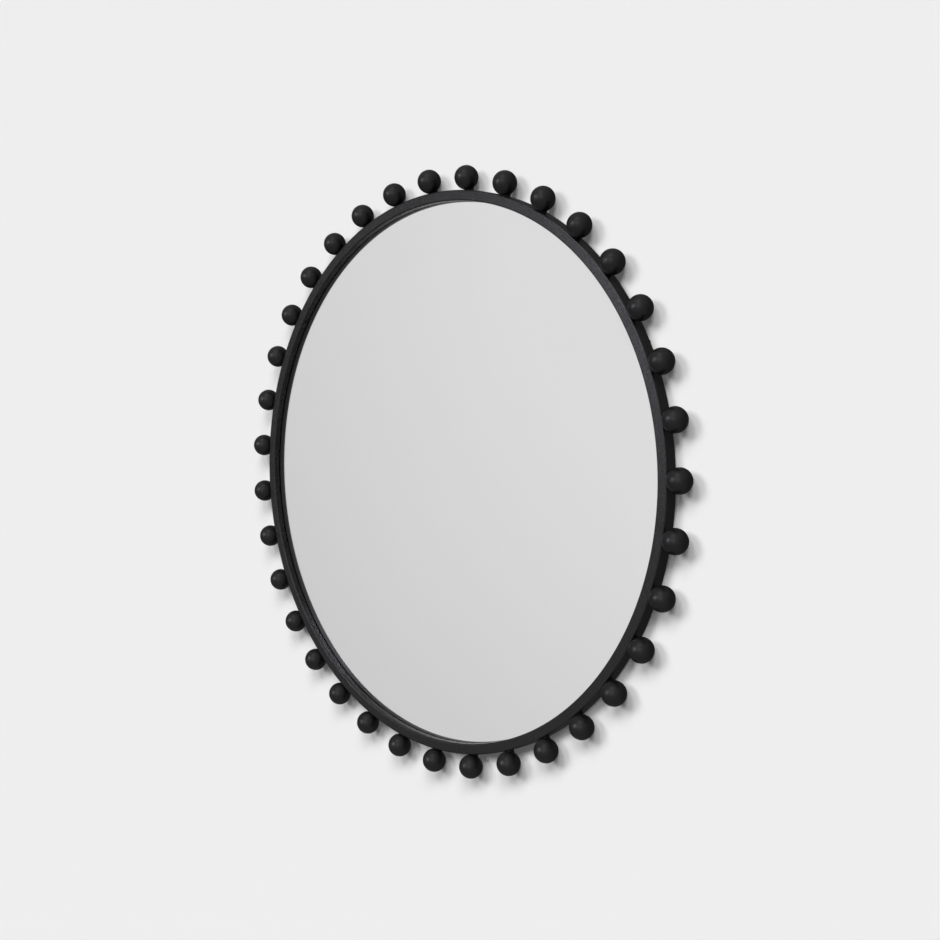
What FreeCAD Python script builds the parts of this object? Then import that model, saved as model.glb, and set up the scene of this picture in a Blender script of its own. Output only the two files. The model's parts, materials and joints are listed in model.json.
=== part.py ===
import FreeCAD, Part
import math
import os

# Round wall mirror in a slim ring frame, with turned beads pegged all round it.
# Millimetres. +Z is up and the mirror faces -Y. The wall is the plane y = 0.
# The origin is on the axis of the mirror, in the plane of the wall.

Vector = FreeCAD.Vector

# Overall form, seen from the front
overall_diameter = 900.0
bead_diameter = 35.0
bead_count = 35
first_bead_angle = 82.9          # degrees, from +X towards +Z
bead_gap = 0.3                   # nearest distance from a bead to the side of the ring

# Frame ring
face_width = 15.5
lip_thickness = 9.5              # from the front face back to the glass
front_round = 2.0                # eased edges of the front face
back_round = 0.8                 # eased outer edge at the back
rebate_round = 0.6               # eased back edge of the rebate

# Glass and what lies behind it, in the rebate of the ring
glass_thickness = 3.0
glass_overlap = 6.0              # how far the lip covers the edge of the glass
glass_arris = 0.6                # ground edge of the glass
rebate_clearance = 0.5           # round the glass and the board
cushion_thickness = 1.0
cushion_inset = 1.5              # the cushion stops short of the edge of the glass
board_thickness = 7.0
board_edge_round = 1.0

# Pegs that carry the beads
peg_diameter = 14.0
peg_chamfer = 0.8
peg_side_clearance = 0.05        # radial, in both sockets
peg_end_clearance = 0.4
ring_socket_depth = 6.0
bead_socket_depth = 9.0          # measured on the axis of the peg

# Turn buttons that hold the board in the ring
button_every = 5                 # one button in every fifth gap between beads
button_thickness = 1.2
button_pivot_end_radius = 4.2
button_tip_radius = 3.0
button_length = 18.0             # from the screw to the centre of the tip
button_tip_run = 5.0             # length of the tip that is bent up
button_tip_rise = 0.7
button_seat_gap = 0.1            # under the button
button_hole_clearance = 0.08     # radial, round the screw

# Screws of the turn buttons
button_screw_shank_radius = 1.6
button_screw_length = 12.0       # under the head
button_screw_point = 3.0
button_screw_head_radius = 3.1
button_screw_head_height = 1.2
button_screw_head_crown = 0.7    # the domed part of the head height
button_screw_gap = 0.08          # between the head and the button
button_screw_slot_width = 0.8
button_screw_slot_depth = 0.6

# Hanger plates, let into the back of the board
hanger_spacing = 400.0           # between the two plates
hanger_height = 160.0            # centre of a plate above the centre of the mirror
plate_length = 60.0
plate_width = 20.0
plate_thickness = 1.5
plate_corner_round = 4.0
plate_side_clearance = 0.25
keyhole_entry_radius = 5.0       # lets the head of the wall screw in
keyhole_slot_width = 5.0         # holds the shank of the wall screw
keyhole_travel = 12.0            # from the entry up to the end of the slot
keyhole_pocket_margin = 3.0      # pocket beyond the edge of the keyhole
keyhole_pocket_floor = 1.0       # board left in front of the pocket

# Screws of the hanger plates
hanger_screw_inset = 6.0         # from each end of the plate
hanger_screw_shank_radius = 1.6
hanger_screw_head_radius = 3.2
hanger_screw_point = 2.0
hanger_screw_cover = 1.0         # board left in front of the point
hanger_screw_land = 0.2          # plate left straight under the countersunk head
hanger_screw_clearance = 0.1     # round the head and the shank

# Screws in wood sit in pilot holes
pilot_clearance = 0.05
pilot_end_clearance = 0.5

# Rubber pads between the back and the wall
pad_count = 4
pad_diameter = 20.0
pad_edge_inset = 30.2            # from the edge of the board to the pad
pad_first_angle = 45.0
pad_round = 0.5
wall_clearance = 0.42            # between the heads of the button screws and the wall

# One overrun for every cut that has to break through a surface
cut_overrun = 2.0

# Worked out from the sizes above
bead_radius = bead_diameter / 2
frame_outer_radius = overall_diameter / 2 - bead_diameter - bead_gap
bead_circle_radius = frame_outer_radius + bead_gap + bead_radius
sight_radius = frame_outer_radius - face_width
glass_radius = sight_radius + glass_overlap
rebate_radius = glass_radius + rebate_clearance
frame_depth = lip_thickness + glass_thickness + cushion_thickness + board_thickness
button_stack = button_seat_gap + button_thickness + button_screw_gap + button_screw_head_height
pad_thickness = button_stack + wall_clearance
pad_circle_radius = glass_radius - pad_edge_inset - pad_diameter / 2
back_y = -pad_thickness
front_y = back_y - frame_depth
glass_front_y = front_y + lip_thickness
glass_back_y = glass_front_y + glass_thickness
cushion_back_y = glass_back_y + cushion_thickness
bead_y = back_y - bead_radius
peg_y = (front_y + back_y) / 2
peg_radius = peg_diameter / 2
peg_socket_radius = peg_radius + peg_side_clearance
bead_pitch_angle = 360.0 / bead_count

# The peg is behind the centre of the bead, so that the back of the bead stays level with
# the back of the ring. Its socket starts where its own axis leaves the bead.
peg_offset = peg_y - bead_y
bead_entry_radius = bead_circle_radius - math.sqrt(bead_radius ** 2 - peg_offset ** 2)
ring_socket_floor = frame_outer_radius - ring_socket_depth
bead_socket_floor = bead_entry_radius + bead_socket_depth

button_pivot_radius = (rebate_radius + frame_outer_radius) / 2
button_under_y = back_y + button_seat_gap
button_top_y = button_under_y + button_thickness
button_head_y = button_top_y + button_screw_gap
button_hole_radius = button_screw_shank_radius + button_hole_clearance
button_count = bead_count // button_every

keyhole_entry_z = hanger_height - keyhole_travel / 2
keyhole_end_z = hanger_height + keyhole_travel / 2
plate_front_y = back_y - plate_thickness
keyhole_pocket_y = cushion_back_y + keyhole_pocket_floor
hanger_screw_pitch = plate_length - 2 * hanger_screw_inset
hanger_screw_length = board_thickness - hanger_screw_cover
hanger_screw_head_height = plate_thickness - hanger_screw_land

toward_wall = Vector(0, 1, 0)
outward = Vector(1, 0, 0)
centre = Vector(0, 0, 0)


def turned(shape, angle):
    """A copy of the shape, turned about the mirror's axis from +X towards +Z."""
    copy = shape.copy()
    copy.rotate(centre, toward_wall, -angle)
    return copy


def disc(radius, low_y, high_y):
    """A round plate on the mirror's axis."""
    return Part.makeCylinder(radius, high_y - low_y, Vector(0, low_y, 0), toward_wall)


def hole_to_wall(radius, x, z, low_y, high_y):
    """A cylinder that runs towards the wall, for holes and pockets."""
    return Part.makeCylinder(radius, high_y - low_y, Vector(x, low_y, z), toward_wall)


def radial_cylinder(radius, inner, outer, y):
    """A cylinder along +X, from one distance to another from the mirror's axis."""
    return Part.makeCylinder(radius, outer - inner, Vector(inner, y, 0), outward)


def circle_edges(solid, radius, y):
    """The edges of a solid that are circles about the mirror's axis, at one radius and depth."""
    found = []
    for edge in solid.Edges:
        if not isinstance(edge.Curve, Part.Circle):
            continue
        same_radius = math.isclose(edge.Curve.Radius, radius, rel_tol=1e-6)
        same_depth = math.isclose(edge.Curve.Center.y, y, rel_tol=1e-6)
        if same_radius and same_depth:
            found.append(edge)
    return found


def revolved(points):
    """A solid of revolution about the mirror's axis, from points of radius and depth."""
    corners = [Vector(radius, y, 0) for radius, y in points]
    outline = Part.makePolygon(corners + corners[:1])
    return Part.Face(outline).revolve(centre, toward_wall, 360)


def rounded_block(width, height, corner, x, z, low_y, high_y):
    """A flat block with rounded corners, centred on x and z, thick along y."""
    base = Vector(x - width / 2, low_y, z - height / 2)
    block = Part.makeBox(width, high_y - low_y, height, base)
    upright = [edge for edge in block.Edges if abs(edge.tangentAt(edge.FirstParameter).y) > 0.5]
    return block.makeFillet(corner, upright)


def bead_angle(index):
    """Where a bead stands, going clockwise as seen from the front."""
    return first_bead_angle - index * bead_pitch_angle


def button_angle(index):
    """Each button is in the middle of a gap between two beads."""
    return bead_angle(index * button_every) - bead_pitch_angle / 2


def make_frame_ring():
    """The ring: a front lip over the glass, a rebate behind it, and a socket for each peg."""
    ring = revolved([
        (sight_radius, front_y),
        (frame_outer_radius, front_y),
        (frame_outer_radius, back_y),
        (rebate_radius, back_y),
        (rebate_radius, glass_front_y),
        (sight_radius, glass_front_y),
    ])
    for radius in (sight_radius, frame_outer_radius):
        ring = ring.makeFillet(front_round, circle_edges(ring, radius, front_y))
    ring = ring.makeFillet(back_round, circle_edges(ring, frame_outer_radius, back_y))
    ring = ring.makeFillet(rebate_round, circle_edges(ring, rebate_radius, back_y))
    socket = radial_cylinder(
        peg_socket_radius, ring_socket_floor, frame_outer_radius + cut_overrun, peg_y)
    sockets = [turned(socket, bead_angle(index)) for index in range(bead_count)]
    pilot = button_screw_pilot()
    pilots = [turned(pilot, button_angle(index)) for index in range(button_count)]
    return ring.cut(sockets + pilots)


def make_bead():
    """One bead on +X: a ball with a blind socket, bored off its centre for the peg."""
    ball = Part.makeSphere(bead_radius, Vector(bead_circle_radius, bead_y, 0))
    socket = radial_cylinder(peg_socket_radius, frame_outer_radius, bead_socket_floor, peg_y)
    return ball.cut(socket)


def make_peg():
    """One peg on +X, from the floor of its ring socket to the floor of its bead socket."""
    inner = ring_socket_floor + peg_end_clearance
    outer = bead_socket_floor - peg_end_clearance
    peg = radial_cylinder(peg_radius, inner, outer, peg_y)
    ends = [edge for edge in peg.Edges if isinstance(edge.Curve, Part.Circle)]
    return peg.makeChamfer(peg_chamfer, ends)


def make_mirror_glass():
    """The pane, with a ground arris on both edges."""
    pane = disc(glass_radius, glass_front_y, glass_back_y)
    for y in (glass_front_y, glass_back_y):
        pane = pane.makeChamfer(glass_arris, circle_edges(pane, glass_radius, y))
    return pane


def make_glass_cushion():
    """The thin sheet between the silvering and the board."""
    return disc(glass_radius - cushion_inset, glass_back_y, cushion_back_y)


def make_backing_board():
    """The board behind the glass, routed for the hanger plates and the heads of the wall screws."""
    board = disc(glass_radius, cushion_back_y, back_y)
    board = board.makeFillet(board_edge_round, circle_edges(board, glass_radius, back_y))
    cuts = []
    for side in (-1, 1):
        x = side * hanger_spacing / 2
        cuts.append(hanger_seat(x))
        cuts.append(keyhole_pocket(x))
        for screw_z in hanger_screw_heights():
            cuts.append(hanger_screw_pilot(x, screw_z))
    return board.cut(cuts)


def hanger_seat(x):
    """The shallow recess that a hanger plate lies in, level with the back of the board."""
    width = plate_width + 2 * plate_side_clearance
    length = plate_length + 2 * plate_side_clearance
    corner = plate_corner_round + plate_side_clearance
    return rounded_block(width, length, corner, x, hanger_height, plate_front_y, back_y + cut_overrun)


def keyhole_pocket(x):
    """The deeper pocket behind the keyhole, a slot with round ends."""
    radius = keyhole_entry_radius + keyhole_pocket_margin
    low = hole_to_wall(radius, x, keyhole_entry_z, keyhole_pocket_y, back_y)
    high = hole_to_wall(radius, x, keyhole_end_z, keyhole_pocket_y, back_y)
    base = Vector(x - radius, keyhole_pocket_y, keyhole_entry_z)
    middle = Part.makeBox(2 * radius, back_y - keyhole_pocket_y, keyhole_travel, base)
    return low.fuse([high, middle]).removeSplitter()


def hanger_screw_heights():
    """Where the two screws of a hanger plate are."""
    return (hanger_height - hanger_screw_pitch / 2, hanger_height + hanger_screw_pitch / 2)


def hanger_screw_pilot(x, z):
    """A blind pilot hole in the board."""
    radius = hanger_screw_shank_radius + pilot_clearance
    floor_y = back_y - hanger_screw_length - pilot_end_clearance
    return hole_to_wall(radius, x, z, floor_y, back_y)


def make_hanger_plate(x):
    """A keyhole plate: the head of a wall screw goes in low, and the mirror drops onto its shank."""
    plate = rounded_block(
        plate_width, plate_length, plate_corner_round, x, hanger_height, plate_front_y, back_y)
    low_y = plate_front_y - cut_overrun
    high_y = back_y + cut_overrun
    slot_radius = keyhole_slot_width / 2
    slot_base = Vector(x - slot_radius, low_y, keyhole_entry_z)
    cuts = [
        hole_to_wall(keyhole_entry_radius, x, keyhole_entry_z, low_y, high_y),
        hole_to_wall(slot_radius, x, keyhole_end_z, low_y, high_y),
        Part.makeBox(keyhole_slot_width, high_y - low_y, keyhole_travel, slot_base),
    ]
    for screw_z in hanger_screw_heights():
        cuts.append(countersunk_hole(x, screw_z))
    return plate.cut(cuts)


def countersunk_hole(x, z):
    """A hole through a hanger plate, opened out for a countersunk head."""
    low_y = plate_front_y - cut_overrun
    shank = hanger_screw_shank_radius + hanger_screw_clearance
    head = hanger_screw_head_radius + hanger_screw_clearance
    through = hole_to_wall(shank, x, z, low_y, back_y + cut_overrun)
    sink = Part.makeCone(
        shank, head, hanger_screw_head_height, Vector(x, back_y - hanger_screw_head_height, z), toward_wall)
    return through.fuse(sink)


def make_hanger_screw(x, z):
    """A countersunk screw, level with the plate, with a plain shank and a point."""
    points = [
        (0, back_y),
        (hanger_screw_head_radius, back_y),
        (hanger_screw_shank_radius, back_y - hanger_screw_head_height),
        (hanger_screw_shank_radius, back_y - hanger_screw_length + hanger_screw_point),
        (0, back_y - hanger_screw_length),
    ]
    screw = revolved(points)
    screw.translate(Vector(x, 0, z))
    return screw


def button_screw_pilot():
    """A blind pilot hole in the back of the ring, on +X."""
    radius = button_screw_shank_radius + pilot_clearance
    floor_y = button_head_y - button_screw_length - pilot_end_clearance
    return hole_to_wall(radius, button_pivot_radius, 0, floor_y, back_y + cut_overrun)


def make_button_screw(slot_angle):
    """A pan-head screw on +X, with a slot across its domed head."""
    flat_y = button_head_y + button_screw_head_height - button_screw_head_crown
    crown_y = button_head_y + button_screw_head_height
    dome_middle = Vector(
        button_screw_head_radius * math.cos(math.radians(45)),
        flat_y + button_screw_head_crown * math.sin(math.radians(45)), 0)
    tip_y = button_head_y - button_screw_length
    top = Vector(0, crown_y, 0)
    corners = [
        Vector(button_screw_head_radius, flat_y, 0),
        Vector(button_screw_head_radius, button_head_y, 0),
        Vector(button_screw_shank_radius, button_head_y, 0),
        Vector(button_screw_shank_radius, tip_y + button_screw_point, 0),
        Vector(0, tip_y, 0),
        top,
    ]
    straight = Part.makePolygon(corners)
    dome = Part.Arc(top, dome_middle, corners[0]).toShape()
    outline = Part.Wire(straight.Edges + [dome])
    screw = Part.Face(outline).revolve(centre, toward_wall, 360)
    slot = Part.makeBox(
        2 * (button_screw_head_radius + cut_overrun), button_screw_slot_depth + cut_overrun,
        button_screw_slot_width,
        Vector(-button_screw_head_radius - cut_overrun, crown_y - button_screw_slot_depth,
               -button_screw_slot_width / 2))
    slot.rotate(centre, toward_wall, slot_angle)
    screw = screw.cut(slot)
    screw.translate(Vector(button_pivot_radius, 0, 0))
    return screw


def button_outline():
    """The plan of a turn button: a round end at the screw that narrows to a round tip."""
    spread = math.acos((button_pivot_end_radius - button_tip_radius) / button_length)
    tip_x = -button_length

    def rim(centre_x, radius, angle):
        return Vector(centre_x - radius * math.cos(angle), 0, radius * math.sin(angle))

    wide_upper = rim(0, button_pivot_end_radius, spread)
    wide_far = rim(0, button_pivot_end_radius, math.pi)
    wide_lower = rim(0, button_pivot_end_radius, -spread)
    tip_upper = rim(tip_x, button_tip_radius, spread)
    tip_far = rim(tip_x, button_tip_radius, 0)
    tip_lower = rim(tip_x, button_tip_radius, -spread)
    edges = [
        Part.Arc(wide_upper, wide_far, wide_lower).toShape(),
        Part.LineSegment(wide_lower, tip_lower).toShape(),
        Part.Arc(tip_lower, tip_far, tip_upper).toShape(),
        Part.LineSegment(tip_upper, wide_upper).toShape(),
    ]
    return Part.Wire(edges)


def make_turn_button():
    """A turn button on +X, pointing inward over the board, with its tip bent up off it."""
    near_x = button_pivot_end_radius + cut_overrun
    tip_end_x = -button_length - button_tip_radius
    bend_x = tip_end_x + button_tip_run
    far_x = tip_end_x - cut_overrun
    slope = button_tip_rise / button_tip_run
    far_rise = slope * (bend_x - far_x)
    side = Part.makePolygon([
        Vector(near_x, button_under_y, 0),
        Vector(near_x, button_top_y, 0),
        Vector(bend_x, button_top_y, 0),
        Vector(far_x, button_top_y + far_rise, 0),
        Vector(far_x, button_under_y + far_rise, 0),
        Vector(bend_x, button_under_y, 0),
        Vector(near_x, button_under_y, 0),
    ])
    half_width = button_pivot_end_radius + cut_overrun
    strip = Part.Face(side).extrude(Vector(0, 0, 2 * half_width))
    strip.translate(Vector(0, 0, -half_width))
    plan = Part.Face(button_outline())
    plan.translate(Vector(0, back_y, 0))
    prism = plan.extrude(Vector(0, pad_thickness, 0))
    hole = hole_to_wall(button_hole_radius, 0, 0, back_y, 0)
    button = strip.common(prism).cut(hole)
    button.translate(Vector(button_pivot_radius, 0, 0))
    return button


def make_wall_pad(angle):
    """A round rubber pad on the back of the board, with an eased edge against the wall."""
    x = pad_circle_radius * math.cos(math.radians(angle))
    z = pad_circle_radius * math.sin(math.radians(angle))
    pad = disc(pad_diameter / 2, back_y, 0)
    pad = pad.makeFillet(pad_round, circle_edges(pad, pad_diameter / 2, 0))
    pad.translate(Vector(x, 0, z))
    return pad


def save(name, shape):
    """Writes one sub-part to its own file."""
    shape.exportStep("parts/" + name + ".step")


def main():
    os.makedirs("parts", exist_ok=True)
    save("frame_ring", make_frame_ring())
    save("mirror_glass", make_mirror_glass())
    save("glass_cushion", make_glass_cushion())
    save("backing_board", make_backing_board())

    bead = make_bead()
    peg = make_peg()
    pegs = []
    for index in range(bead_count):
        angle = bead_angle(index)
        save("bead_%02d" % (index + 1), turned(bead, angle))
        pegs.append(turned(peg, angle))
    save("bead_pegs", Part.makeCompound(pegs))

    button = make_turn_button()
    button_screws = []
    for index in range(button_count):
        angle = button_angle(index)
        save("turn_button_%d" % (index + 1), turned(button, angle))
        button_screws.append(turned(make_button_screw(index * bead_pitch_angle), angle))
    save("turn_button_screws", Part.makeCompound(button_screws))

    hanger_screws = []
    for name, side in (("left", -1), ("right", 1)):
        x = side * hanger_spacing / 2
        save("hanger_plate_" + name, make_hanger_plate(x))
        for screw_z in hanger_screw_heights():
            hanger_screws.append(make_hanger_screw(x, screw_z))
    save("hanger_screws", Part.makeCompound(hanger_screws))

    for index in range(pad_count):
        angle = pad_first_angle + index * 360.0 / pad_count
        save("wall_pad_%d" % (index + 1), make_wall_pad(angle))


main()
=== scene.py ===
import json
import math
from collections import namedtuple

import bmesh
import bpy
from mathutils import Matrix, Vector

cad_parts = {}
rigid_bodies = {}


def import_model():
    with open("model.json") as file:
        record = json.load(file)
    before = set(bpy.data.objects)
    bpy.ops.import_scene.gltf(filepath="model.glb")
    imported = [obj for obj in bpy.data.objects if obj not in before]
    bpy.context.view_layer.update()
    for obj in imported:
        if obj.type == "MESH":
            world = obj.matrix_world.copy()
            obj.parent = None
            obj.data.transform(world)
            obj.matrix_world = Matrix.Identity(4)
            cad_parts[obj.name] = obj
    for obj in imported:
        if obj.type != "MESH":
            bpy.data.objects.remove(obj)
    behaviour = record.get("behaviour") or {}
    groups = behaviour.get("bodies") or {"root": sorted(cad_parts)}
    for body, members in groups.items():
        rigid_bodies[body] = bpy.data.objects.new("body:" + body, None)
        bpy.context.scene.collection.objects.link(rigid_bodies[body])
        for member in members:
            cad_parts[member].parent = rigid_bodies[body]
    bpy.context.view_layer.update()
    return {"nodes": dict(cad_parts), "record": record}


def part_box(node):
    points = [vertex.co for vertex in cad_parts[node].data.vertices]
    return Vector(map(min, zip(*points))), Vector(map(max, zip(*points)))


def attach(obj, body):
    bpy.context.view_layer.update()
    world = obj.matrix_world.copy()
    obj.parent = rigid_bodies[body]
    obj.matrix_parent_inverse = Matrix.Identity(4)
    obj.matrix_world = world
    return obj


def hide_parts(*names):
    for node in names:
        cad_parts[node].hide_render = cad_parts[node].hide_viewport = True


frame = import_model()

# Round beaded mirror on a pale wall. Metres, +Z up; the mirror faces -Y and the wall is y = 0.

nodes = frame["nodes"]
BODY = "mirror_body"

MM = 0.001
QUARTER_TURN = math.pi / 2
FULL_TURN = 2 * math.pi

# Camera, at the photograph's place and angle
CAMERA_PLACE = (1.4634, -1.4418, 0.0957)
CAMERA_TURN = math.radians(44.624)
CAMERA_DIP = math.radians(2.546)
CAMERA_LENS = 52.716
CAMERA_SENSOR = 36.0

# Far lamps: name, the side that they stand on, strength, and width in degrees.
# The soft lamps light the wall, and the matt part of the mirror's pieces
SOFT_LAMPS = (
    ("soft_left", (-0.358, -0.854, 0.378), 1.20, 23.0),
    ("soft_middle", (0.057, -0.742, 0.668), 1.04, 23.0),
    ("soft_right", (0.511, -0.596, 0.619), 1.555, 23.0),
)
# The shine lamps light only the shiny part of the pieces, and the glass shows one of them alone
SHINE_LAMPS = (
    ("shine_left", (-0.45, -0.86, 0.22), 0.37, 12.0),
    ("shine_front", (-0.17, -0.96, 0.29), 0.08, 12.0),
    ("shine_right", (0.35, -0.90, 0.25), 0.21, 30.0),
    ("shine_top", (0.10, -0.60, 0.78), 0.21, 30.0),
    ("shine_face", (-0.60, -0.80, 0.053), 0.045, 4.0),
)
LAMP_IN_GLASS = "shine_top"
SHINE_COLOUR = (0.97, 0.94, 1.10)

# A soft panel behind the wall, for the pieces at the back
BACK_STRENGTH = 30.0
BACK_SIZE = 1.6
BACK_PLACE = (-1.3, 1.9, 0.9)

# Starts of the names of the pieces that some lamps are kept to
PAINTED_PIECES = ("ring_turned", "bead_")
BACK_PIECES = ("backing_board", "hanger_", "turn_button_", "wall_pad_", "glass_cushion")

# The studio is dim for matt surfaces. Shiny ones show it at a level of its own, which rises towards each
# of these sides, the steeper the longer the vector is
STUDIO_COLOUR = (0.8, 0.8, 0.8)
STUDIO_DIM = 0.03
STUDIO_SHINE = 0.08
STUDIO_SIDES = (
    Vector((0.0, -0.33, 0.44)),
    Vector((0.0, -0.21, -0.28)),
    Vector((0.16, 0.0, 0.0)),
    Vector((0.08, -0.08, 0.0)),
)

# The studio as the mirror shows it: it rises towards one side, between a least and a most level
GLASS_SIDE = Vector((-0.7042, -1.3930, 0.2450))
GLASS_SHIFT = -0.546
GLASS_LEAST = 0.40
GLASS_MOST = 0.97

# Wall and floor
PALE = 0.86
FLOOR_PALE = 0.70                 # the floor lies more open to the lamps, so its paint is darker
WALL_GLOW = 0.08                  # the wall's own faint light, which keeps its shadows from turning black
WALL_HALF_WIDTH = 5.0
WALL_TOP = 4.0
FLOOR_LEVEL = -2.0
FLOOR_REACH = 5.0
COVE_RADIUS = 0.6
COVE_STEPS = 16

# Section of the ring
FACE_WIDTH = 15.5 * MM
FRONT_ROUND = 2.0 * MM
BACK_ROUND = 0.8 * MM
REBATE_CLEARANCE = 0.5 * MM
EDGE_STEPS = 6
EDGE_STRIP = 0.4 * MM             # a flat band beside each round, so that the wide faces look flat
RING_STEPS = 480
SHARP_ANGLE = math.radians(40.0)

# Silver layer, a little smaller than the glass and just inside its back face
SILVER_MARGIN = 1.0 * MM
SILVER_THICKNESS = 0.02 * MM
SILVER_INSET = 0.01 * MM
SILVER_STEPS = 256

# What the materials are set by. A grain's scale counts its specks to the metre
Grain = namedtuple("Grain", "scale detail roughness")
Relief = namedtuple("Relief", "depth strength")
Paint = namedtuple("Paint", "pale dark shine smooth rough")
Plating = namedtuple("Plating", "colour roughness grain")

# Most of a grain's values lie between these two
GRAIN_LOW = 0.3
GRAIN_HIGH = 0.7

# Satin black paint
RING_PAINT = Paint(
    pale=(0.0128, 0.0121, 0.0123), dark=(0.0092, 0.0087, 0.0089), shine=0.42, smooth=0.24, rough=0.32)
BEAD_PAINT = Paint(
    pale=(0.0060, 0.0056, 0.0057), dark=(0.0036, 0.0034, 0.0035), shine=0.43, smooth=0.29, rough=0.38)
TURNING_GRAIN = Grain(scale=900.0, detail=4.0, roughness=0.7)
PEEL_GRAIN = Grain(scale=380.0, detail=4.0, roughness=0.6)
PAINT_CLOUD = Grain(scale=35.0, detail=3.0, roughness=0.6)
PAINT_RELIEF = Relief(depth=0.12 * MM, strength=0.6)
TURNING_SHARE = 0.5               # how much of the gloss follows the turning marks; the rest is cloud
TURNING_STRETCH = 0.01            # metres of grain to a radian, so few that the marks run round the ring

# Glass and silver
GLASS_REFRACTION = 1.52
SILVER_DARK = (0.93, 0.93, 0.93)
SILVER_PALE = (0.95, 0.95, 0.95)
SILVER_CLOUD = Grain(scale=4.0, detail=2.0, roughness=0.5)

# Fibreboard
BOARD_DARK = (0.20, 0.125, 0.07)
BOARD_PALE = (0.42, 0.29, 0.18)
FIBRE_GRAIN = Grain(scale=900.0, detail=6.0, roughness=0.75)
FIBRE_STRETCH = (1.0, 1.0, 0.35)
BOARD_CLOUD = Grain(scale=18.0, detail=4.0, roughness=0.6)
BOARD_RELIEF = Relief(depth=0.2 * MM, strength=0.5)
BOARD_SMOOTH = 0.65
BOARD_ROUGH = 0.9
FIBRE_SHARE = 0.7                 # how much of the tone follows the fibres; the rest is cloud

# Plated steel
HANGER_PLATING = Plating((0.62, 0.63, 0.65), 0.32, Grain(scale=900.0, detail=4.0, roughness=0.7))
BUTTON_PLATING = Plating((0.70, 0.68, 0.64), 0.26, Grain(scale=1200.0, detail=4.0, roughness=0.7))
SCREW_PLATING = Plating((0.60, 0.61, 0.63), 0.30, Grain(scale=1500.0, detail=4.0, roughness=0.7))
PLATING_STRETCH = (1.0, 1.0, 0.04)
PLATING_RELIEF = Relief(depth=0.05 * MM, strength=0.3)
PLATING_DARK_SHARE = 0.8
PLATING_SMOOTHER = 0.06
PLATING_ROUGHER = 0.10

# Rubber
RUBBER_DARK = (0.018, 0.018, 0.018)
RUBBER_PALE = (0.03, 0.03, 0.03)
RUBBER_GRAIN = Grain(scale=1500.0, detail=2.0, roughness=0.5)
RUBBER_RELIEF = Relief(depth=0.1 * MM, strength=0.4)
RUBBER_SMOOTH = 0.7
RUBBER_ROUGH = 0.9

# Felt
FELT_DARK = (0.5, 0.5, 0.48)
FELT_PALE = (0.78, 0.78, 0.76)
FELT_GRAIN = Grain(scale=1200.0, detail=5.0, roughness=0.8)
FELT_RELIEF = Relief(depth=0.3 * MM, strength=0.6)
FELT_SHEEN = 0.3


def new_material(name):
    """A new material, its tree of nodes and its one shader."""
    material = bpy.data.materials.new(name)
    material.use_nodes = True
    tree = material.node_tree
    shader = tree.nodes["Principled BSDF"]
    return material, tree, shader


def add(tree, kind, **settings):
    """Adds a node to a tree and sets its properties."""
    node = tree.nodes.new(kind)
    for key, value in settings.items():
        setattr(node, key, value)
    return node


def feed(tree, value, socket):
    """Sets a socket to a number, or links another socket to it."""
    if isinstance(value, (int, float)):
        socket.default_value = value
    else:
        tree.links.new(value, socket)


def arithmetic(tree, operation, *values):
    """The result of one operation on sockets and numbers."""
    node = add(tree, "ShaderNodeMath", operation=operation)
    for socket, value in zip(node.inputs, values):
        feed(tree, value, socket)
    return node.outputs["Value"]


def place_of(tree):
    """The place on the object, in metres."""
    return add(tree, "ShaderNodeTexCoord").outputs["Object"]


def stretched_place(tree, stretch):
    """The place on the object, with each direction scaled by its own factor."""
    node = add(tree, "ShaderNodeMapping")
    node.inputs["Scale"].default_value = stretch
    tree.links.new(place_of(tree), node.inputs["Vector"])
    return node.outputs["Vector"]


def turned_place(tree):
    """Distance from the mirror's axis, depth, and a slow angle, so that a grain runs round the ring."""
    split = add(tree, "ShaderNodeSeparateXYZ")
    tree.links.new(place_of(tree), split.inputs["Vector"])
    x, y, z = split.outputs
    x_square = arithmetic(tree, "MULTIPLY", x, x)
    z_square = arithmetic(tree, "MULTIPLY", z, z)
    radius = arithmetic(tree, "SQRT", arithmetic(tree, "ADD", x_square, z_square))
    angle = arithmetic(tree, "ARCTAN2", z, x)
    join = add(tree, "ShaderNodeCombineXYZ")
    tree.links.new(radius, join.inputs["X"])
    tree.links.new(y, join.inputs["Y"])
    tree.links.new(arithmetic(tree, "MULTIPLY", angle, TURNING_STRETCH), join.inputs["Z"])
    return join.outputs["Vector"]


def grained(tree, place, grain):
    """The value of a grain over a place, from 0 to 1."""
    node = add(tree, "ShaderNodeTexNoise")
    node.inputs["Scale"].default_value = grain.scale
    node.inputs["Detail"].default_value = grain.detail
    node.inputs["Roughness"].default_value = grain.roughness
    tree.links.new(place, node.inputs["Vector"])
    return node.outputs["Fac"]


def blended(tree, value_a, value_b, share):
    """Two values added, the first with that share and the second with the rest."""
    part_a = arithmetic(tree, "MULTIPLY", value_a, share)
    part_b = arithmetic(tree, "MULTIPLY", value_b, 1.0 - share)
    return arithmetic(tree, "ADD", part_a, part_b)


def ranged(tree, value, low, high, from_low=0.0, from_high=1.0):
    """A value moved from one range to another."""
    node = add(tree, "ShaderNodeMapRange")
    node.inputs["From Min"].default_value = from_low
    node.inputs["From Max"].default_value = from_high
    node.inputs["To Min"].default_value = low
    node.inputs["To Max"].default_value = high
    tree.links.new(value, node.inputs["Value"])
    return node.outputs["Result"]


def mixed_colour(tree, factor, colour_a, colour_b):
    """The first colour at factor 0, the second at 1, and a mix between."""
    node = add(tree, "ShaderNodeMix", data_type="RGBA")
    node.inputs["A"].default_value = (*colour_a, 1.0)
    node.inputs["B"].default_value = (*colour_b, 1.0)
    tree.links.new(factor, node.inputs["Factor"])
    return node.outputs["Result"]


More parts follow.
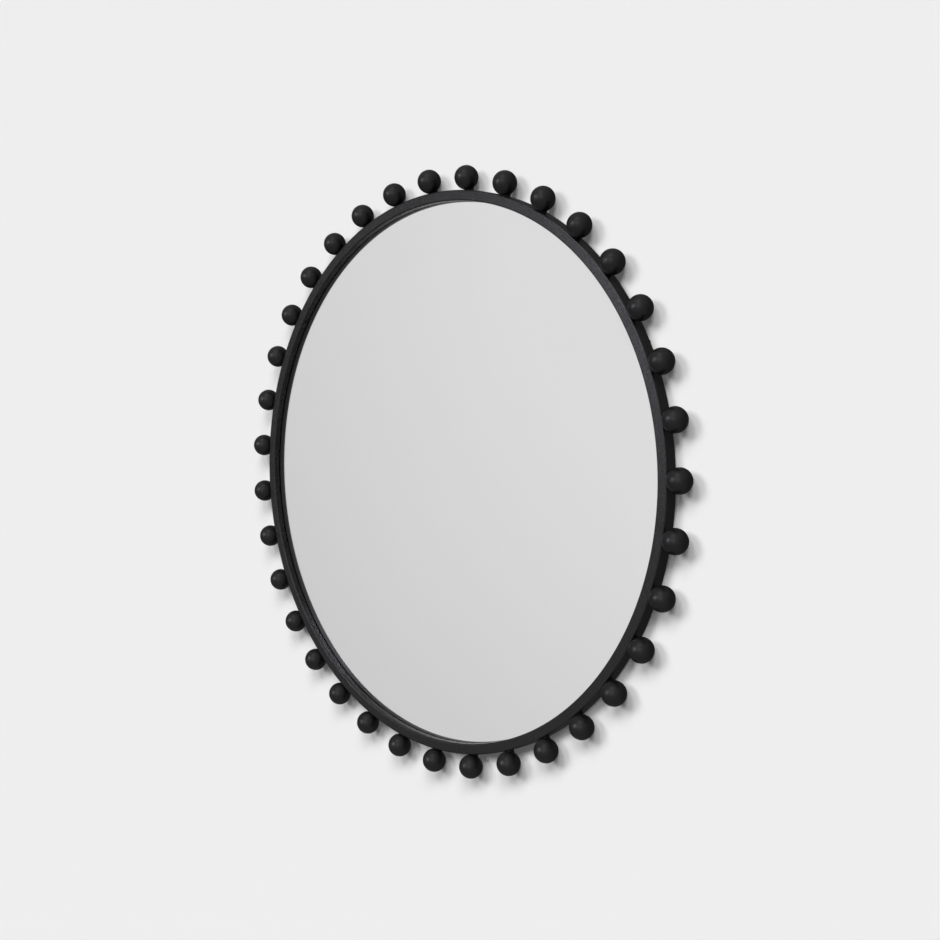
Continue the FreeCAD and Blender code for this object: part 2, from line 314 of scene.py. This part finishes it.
def mixed_shader(tree, factor, shader_a, shader_b):
    """The first shader at factor 0, and the second at 1."""
    node = add(tree, "ShaderNodeMixShader")
    tree.links.new(factor, node.inputs["Fac"])
    tree.links.new(shader_a, node.inputs[1])
    tree.links.new(shader_b, node.inputs[2])
    return node.outputs["Shader"]


def give_relief(tree, shader, height, relief):
    """Makes the shader's surface look uneven by a height."""
    node = add(tree, "ShaderNodeBump")
    node.inputs["Distance"].default_value = relief.depth
    node.inputs["Strength"].default_value = relief.strength
    tree.links.new(height, node.inputs["Height"])
    tree.links.new(node.outputs["Normal"], shader.inputs["Normal"])


def black_paint(name, paint):
    """Satin black paint on turned wood: fine turning marks, a fine orange peel and uneven gloss."""
    material, tree, shader = new_material(name)
    turning = grained(tree, turned_place(tree), TURNING_GRAIN)
    peel = grained(tree, place_of(tree), PEEL_GRAIN)
    cloud = grained(tree, place_of(tree), PAINT_CLOUD)
    gloss = blended(tree, turning, cloud, TURNING_SHARE)
    roughness = ranged(tree, gloss, paint.smooth, paint.rough, GRAIN_LOW, GRAIN_HIGH)
    tree.links.new(mixed_colour(tree, cloud, paint.dark, paint.pale), shader.inputs["Base Color"])
    tree.links.new(roughness, shader.inputs["Roughness"])
    shader.inputs["Specular IOR Level"].default_value = paint.shine
    give_relief(tree, shader, arithmetic(tree, "ADD", turning, peel), PAINT_RELIEF)
    return material


def clear_glass():
    """Clear float glass."""
    material, _, shader = new_material("float_glass")
    shader.inputs["Base Color"].default_value = (1.0, 1.0, 1.0, 1.0)
    shader.inputs["Roughness"].default_value = 0.0
    shader.inputs["IOR"].default_value = GLASS_REFRACTION
    shader.inputs["Transmission Weight"].default_value = 1.0
    return material


def silvering():
    """The silver behind the glass, very slightly uneven."""
    material, tree, shader = new_material("silvering")
    cloud = grained(tree, place_of(tree), SILVER_CLOUD)
    tree.links.new(mixed_colour(tree, cloud, SILVER_DARK, SILVER_PALE), shader.inputs["Base Color"])
    shader.inputs["Metallic"].default_value = 1.0
    shader.inputs["Roughness"].default_value = 0.0
    return material


def fibreboard():
    """Bare fibreboard: fine fibres in a warm brown, with darker flecks."""
    material, tree, shader = new_material("fibreboard")
    fibre = grained(tree, stretched_place(tree, FIBRE_STRETCH), FIBRE_GRAIN)
    cloud = grained(tree, place_of(tree), BOARD_CLOUD)
    tone = ranged(tree, blended(tree, fibre, cloud, FIBRE_SHARE), 0.0, 1.0, GRAIN_LOW, GRAIN_HIGH)
    tree.links.new(mixed_colour(tree, tone, BOARD_DARK, BOARD_PALE), shader.inputs["Base Color"])
    tree.links.new(ranged(tree, fibre, BOARD_SMOOTH, BOARD_ROUGH), shader.inputs["Roughness"])
    give_relief(tree, shader, fibre, BOARD_RELIEF)
    return material


def plated_steel(name, plating):
    """Plated steel with a fine drawn grain."""
    material, tree, shader = new_material(name)
    grain = grained(tree, stretched_place(tree, PLATING_STRETCH), plating.grain)
    dark = tuple(PLATING_DARK_SHARE * part for part in plating.colour)
    smooth = plating.roughness - PLATING_SMOOTHER
    rough = plating.roughness + PLATING_ROUGHER
    tree.links.new(mixed_colour(tree, grain, dark, plating.colour), shader.inputs["Base Color"])
    tree.links.new(ranged(tree, grain, smooth, rough, GRAIN_LOW, GRAIN_HIGH), shader.inputs["Roughness"])
    shader.inputs["Metallic"].default_value = 1.0
    give_relief(tree, shader, grain, PLATING_RELIEF)
    return material


def rubber():
    """Matt black rubber."""
    material, tree, shader = new_material("pad_rubber")
    grain = grained(tree, place_of(tree), RUBBER_GRAIN)
    tree.links.new(mixed_colour(tree, grain, RUBBER_DARK, RUBBER_PALE), shader.inputs["Base Color"])
    tree.links.new(ranged(tree, grain, RUBBER_SMOOTH, RUBBER_ROUGH), shader.inputs["Roughness"])
    give_relief(tree, shader, grain, RUBBER_RELIEF)
    return material


def felt():
    """Thin pale felt, seen only in the gap round the board."""
    material, tree, shader = new_material("felt")
    grain = grained(tree, place_of(tree), FELT_GRAIN)
    tree.links.new(mixed_colour(tree, grain, FELT_DARK, FELT_PALE), shader.inputs["Base Color"])
    shader.inputs["Roughness"].default_value = 1.0
    shader.inputs["Sheen Weight"].default_value = FELT_SHEEN
    give_relief(tree, shader, grain, FELT_RELIEF)
    return material


def make_finishes():
    """The material of each slot of the record."""
    bead = black_paint("bead_satin_black", BEAD_PAINT)
    return {
        "ring_black": black_paint("ring_satin_black", RING_PAINT),
        "bead_black": bead,
        "peg_black": bead,
        "mirror": clear_glass(),
        "cushion": felt(),
        "board": fibreboard(),
        "plate_steel": plated_steel("zinc_plate", HANGER_PLATING),
        "button_steel": plated_steel("nickel_plate", BUTTON_PLATING),
        "screw_steel": plated_steel("zinc_screw", SCREW_PLATING),
        "pad_rubber": rubber(),
    }


def dress_nodes(finishes):
    """Gives each node the material of its slot."""
    for subpart in frame["record"]["subparts"]:
        mesh = nodes[subpart["node"]].data
        mesh.materials.clear()
        mesh.materials.append(finishes[subpart["material_slot"]])


def put_in_scene(name, data):
    """A new object in the scene, made from a mesh, a light or a camera."""
    thing = bpy.data.objects.new(name, data)
    bpy.context.scene.collection.objects.link(thing)
    return thing


def rounded(corner_r, corner_y, toward_r, toward_y, radius):
    """Points of a quarter-round edge, in the section of the ring, from its side to its face."""
    points = [(corner_r, corner_y + toward_y * (radius + EDGE_STRIP))]
    for step in range(EDGE_STEPS + 1):
        turn = QUARTER_TURN * step / EDGE_STEPS
        r = corner_r + toward_r * radius * (1 - math.cos(turn))
        y = corner_y + toward_y * radius * (1 - math.sin(turn))
        points.append((r, y))
    points.append((corner_r + toward_r * (radius + EDGE_STRIP), corner_y))
    return points


def ring_section():
    """Points of the ring's section, as distances from the axis and depths, read from the frame."""
    ring_low, ring_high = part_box("frame_ring")
    glass_low, glass_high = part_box("mirror_glass")
    outer = ring_high[0]
    inner = outer - FACE_WIDTH
    front = ring_low[1]
    back = ring_high[1]
    rebate = glass_high[0] + REBATE_CLEARANCE
    glass_front = glass_low[1]
    section = rounded(inner, front, 1, 1, FRONT_ROUND)
    section += rounded(outer, front, -1, 1, FRONT_ROUND)[::-1]
    section += rounded(outer, back, -1, -1, BACK_ROUND)
    section += [(rebate, back), (rebate, glass_front), (inner, glass_front)]
    return section


def make_ring(finish):
    """The turned ring in place of its faceted one, on the same section."""
    section = ring_section()
    shape = bmesh.new()
    rows = []
    for step in range(RING_STEPS):
        turn = FULL_TURN * step / RING_STEPS
        rows.append([shape.verts.new((r * math.cos(turn), y, r * math.sin(turn))) for r, y in section])
    for here, there in zip(rows, rows[1:] + rows[:1]):
        for n in range(len(section)):
            after = (n + 1) % len(section)
            shape.faces.new((here[n], here[after], there[after], there[n]))
    bmesh.ops.recalc_face_normals(shape, faces=shape.faces)
    mesh = bpy.data.meshes.new("ring_turned")
    shape.to_mesh(mesh)
    shape.free()
    mesh.shade_smooth()
    mesh.set_sharp_from_angle(angle=SHARP_ANGLE)
    mesh.materials.append(finish)
    ring = put_in_scene("ring_turned", mesh)
    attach(ring, BODY)
    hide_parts("frame_ring")


def make_silver():
    """The silvered layer, a thin disc just inside the back face of the glass."""
    glass_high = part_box("mirror_glass")[1]
    radius = glass_high[0] - SILVER_MARGIN
    depth = glass_high[1] - SILVER_INSET - SILVER_THICKNESS / 2
    z_to_y = Vector((0, 0, 1)).rotation_difference(Vector((0, 1, 0)))
    shape = bmesh.new()
    bmesh.ops.create_cone(
        shape, cap_ends=True, cap_tris=False, segments=SILVER_STEPS,
        radius1=radius, radius2=radius, depth=SILVER_THICKNESS)
    bmesh.ops.rotate(shape, cent=(0, 0, 0), matrix=z_to_y.to_matrix(), verts=shape.verts)
    bmesh.ops.translate(shape, vec=(0, depth, 0), verts=shape.verts)
    mesh = bpy.data.meshes.new("silver_layer")
    shape.to_mesh(mesh)
    shape.free()
    mesh.materials.append(silvering())
    silver = put_in_scene("silver_layer", mesh)
    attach(silver, BODY)


def wall_paint():
    """Pale paint with a faint glow, darker on the floor than on the wall, and clear from behind."""
    material = bpy.data.materials.new("pale_wall")
    material.use_nodes = True
    tree = material.node_tree
    tree.nodes.clear()
    split = add(tree, "ShaderNodeSeparateXYZ")
    tree.links.new(place_of(tree), split.inputs["Vector"])
    cove_top = FLOOR_LEVEL + COVE_RADIUS
    shade = ranged(tree, split.outputs["Z"], FLOOR_PALE, PALE, FLOOR_LEVEL, cove_top)
    paint = add(tree, "ShaderNodeBsdfDiffuse")
    tree.links.new(shade, paint.inputs["Color"])
    glow = add(tree, "ShaderNodeEmission")
    glow.inputs["Strength"].default_value = WALL_GLOW
    front = add(tree, "ShaderNodeAddShader")
    tree.links.new(paint.outputs["BSDF"], front.inputs[0])
    tree.links.new(glow.outputs["Emission"], front.inputs[1])
    behind = add(tree, "ShaderNodeBsdfTransparent")
    facing = add(tree, "ShaderNodeNewGeometry")
    surface = mixed_shader(
        tree, facing.outputs["Backfacing"], front.outputs["Shader"], behind.outputs["BSDF"])
    out = add(tree, "ShaderNodeOutputMaterial")
    tree.links.new(surface, out.inputs["Surface"])
    return material


def backdrop_section():
    """Points of the backdrop's section, as y and z, from the floor's front edge to the top of the wall."""
    section = [(-FLOOR_REACH, FLOOR_LEVEL)]
    for step in range(COVE_STEPS + 1):
        turn = QUARTER_TURN * step / COVE_STEPS
        y = COVE_RADIUS * (math.sin(turn) - 1)
        z = FLOOR_LEVEL + COVE_RADIUS * (1 - math.cos(turn))
        section.append((y, z))
    section.append((0.0, WALL_TOP))
    return section


def make_backdrop():
    """Wall and floor in one sheet with a cove between, seen by the camera alone and only from the front."""
    section = backdrop_section()
    vertices = [(side * WALL_HALF_WIDTH, y, z) for y, z in section for side in (-1, 1)]
    faces = [(2 * n, 2 * n + 1, 2 * n + 3, 2 * n + 2) for n in range(len(section) - 1)]
    mesh = bpy.data.meshes.new("backdrop")
    mesh.from_pydata(vertices, [], faces)
    mesh.shade_smooth()
    mesh.materials.append(wall_paint())
    backdrop = put_in_scene("backdrop", mesh)
    backdrop.visible_diffuse = False
    backdrop.visible_glossy = False
    backdrop.visible_transmission = False
    backdrop.visible_shadow = False


def toward(tree, way, side):
    """How far a direction points to a side."""
    node = add(tree, "ShaderNodeVectorMath", operation="DOT_PRODUCT")
    node.inputs[1].default_value = side
    tree.links.new(way, node.inputs[0])
    return node.outputs["Value"]


def level_on_things(tree, way, on_shiny):
    """The studio's level in each direction: dim for matt surfaces, and paler for shiny ones."""
    shine = STUDIO_SHINE
    for side in STUDIO_SIDES:
        rise = arithmetic(tree, "MAXIMUM", toward(tree, way, side), 0.0)
        shine = arithmetic(tree, "ADD", rise, shine)
    level = add(tree, "ShaderNodeMix")
    level.inputs["A"].default_value = STUDIO_DIM
    tree.links.new(shine, level.inputs["B"])
    tree.links.new(on_shiny, level.inputs["Factor"])
    return level.outputs["Result"]


def level_in_glass(tree, way):
    """The studio's level in each direction, as the mirror shows it."""
    level = arithmetic(tree, "ADD", toward(tree, way, GLASS_SIDE), GLASS_SHIFT)
    level = arithmetic(tree, "MAXIMUM", level, GLASS_LEAST)
    return arithmetic(tree, "MINIMUM", level, GLASS_MOST)


def background(tree, colour, level):
    """A background of a colour, at a level."""
    node = add(tree, "ShaderNodeBackground")
    node.inputs["Color"].default_value = (*colour, 1.0)
    feed(tree, level, node.inputs["Strength"])
    return node.outputs["Background"]


def make_studio():
    """The room round the mirror: what lights things, what the mirror shows, and what lies past the wall."""
    world = bpy.data.worlds.new("studio")
    bpy.context.scene.world = world
    world.use_nodes = True
    world.cycles.sampling_method = "NONE"
    tree = world.node_tree
    tree.nodes.clear()
    way = add(tree, "ShaderNodeTexCoord").outputs["Generated"]
    ray = add(tree, "ShaderNodeLightPath")
    on_things = background(tree, STUDIO_COLOUR, level_on_things(tree, way, ray.outputs["Is Glossy Ray"]))
    in_glass = background(tree, STUDIO_COLOUR, level_in_glass(tree, way))
    past_wall = background(tree, (PALE, PALE, PALE), 1.0)
    room = mixed_shader(tree, ray.outputs["Is Transmission Ray"], on_things, in_glass)
    room = mixed_shader(tree, ray.outputs["Is Camera Ray"], room, past_wall)
    out = add(tree, "ShaderNodeOutputWorld")
    tree.links.new(room, out.inputs["Surface"])


def lit_pieces(name, starts):
    """The pieces that a lamp lights: those whose names begin in one of these ways."""
    lit = bpy.data.collections.new(name)
    for piece in bpy.context.scene.objects:
        if piece.name.startswith(starts):
            lit.objects.link(piece)
    return lit


def make_far_lamp(name, side, strength, width):
    """A far round lamp that stands on a side of the mirror."""
    light = bpy.data.lights.new(name, "SUN")
    light.energy = strength
    light.angle = math.radians(width)
    lamp = put_in_scene(name, light)
    lamp.rotation_euler = Vector(side).to_track_quat("Z", "Y").to_euler()
    return lamp


def make_soft_lamp(name, side, strength, width):
    """A far lamp that lights the matt part of things."""
    lamp = make_far_lamp(name, side, strength, width)
    lamp.visible_glossy = False
    lamp.visible_transmission = False


def make_shine_lamp(name, side, strength, width):
    """A far lamp that lights the shiny part of things. All but one are kept off the glass."""
    lamp = make_far_lamp(name, side, strength, width)
    lamp.data.color = SHINE_COLOUR
    lamp.visible_diffuse = False
    if name != LAMP_IN_GLASS:
        lamp.visible_transmission = False
        lit = lit_pieces(name + "_pieces", PAINTED_PIECES + BACK_PIECES)
        lamp.light_linking.receiver_collection = lit


def make_back_light():
    """A soft panel behind the wall that lights only the pieces at the back of the mirror."""
    light = bpy.data.lights.new("back_panel", "AREA")
    light.shape = "SQUARE"
    light.size = BACK_SIZE
    light.energy = BACK_STRENGTH
    panel = put_in_scene("back_panel", light)
    panel.location = BACK_PLACE
    panel.rotation_euler = Vector(BACK_PLACE).to_track_quat("Z", "Y").to_euler()
    panel.light_linking.receiver_collection = lit_pieces("back_pieces", BACK_PIECES)


def make_camera():
    """The camera, level but for a slight dip."""
    data = bpy.data.cameras.new("camera")
    data.sensor_width = CAMERA_SENSOR
    data.lens = CAMERA_LENS
    camera = put_in_scene("camera", data)
    camera.location = CAMERA_PLACE
    camera.rotation_euler = (QUARTER_TURN - CAMERA_DIP, 0.0, CAMERA_TURN)
    bpy.context.scene.camera = camera


bpy.context.scene.view_settings.view_transform = "Standard"
make_camera()
finishes = make_finishes()
dress_nodes(finishes)
make_ring(finishes["ring_black"])
make_silver()
make_backdrop()
make_studio()
for soft_lamp in SOFT_LAMPS:
    make_soft_lamp(*soft_lamp)
for shine_lamp in SHINE_LAMPS:
    make_shine_lamp(*shine_lamp)
make_back_light()
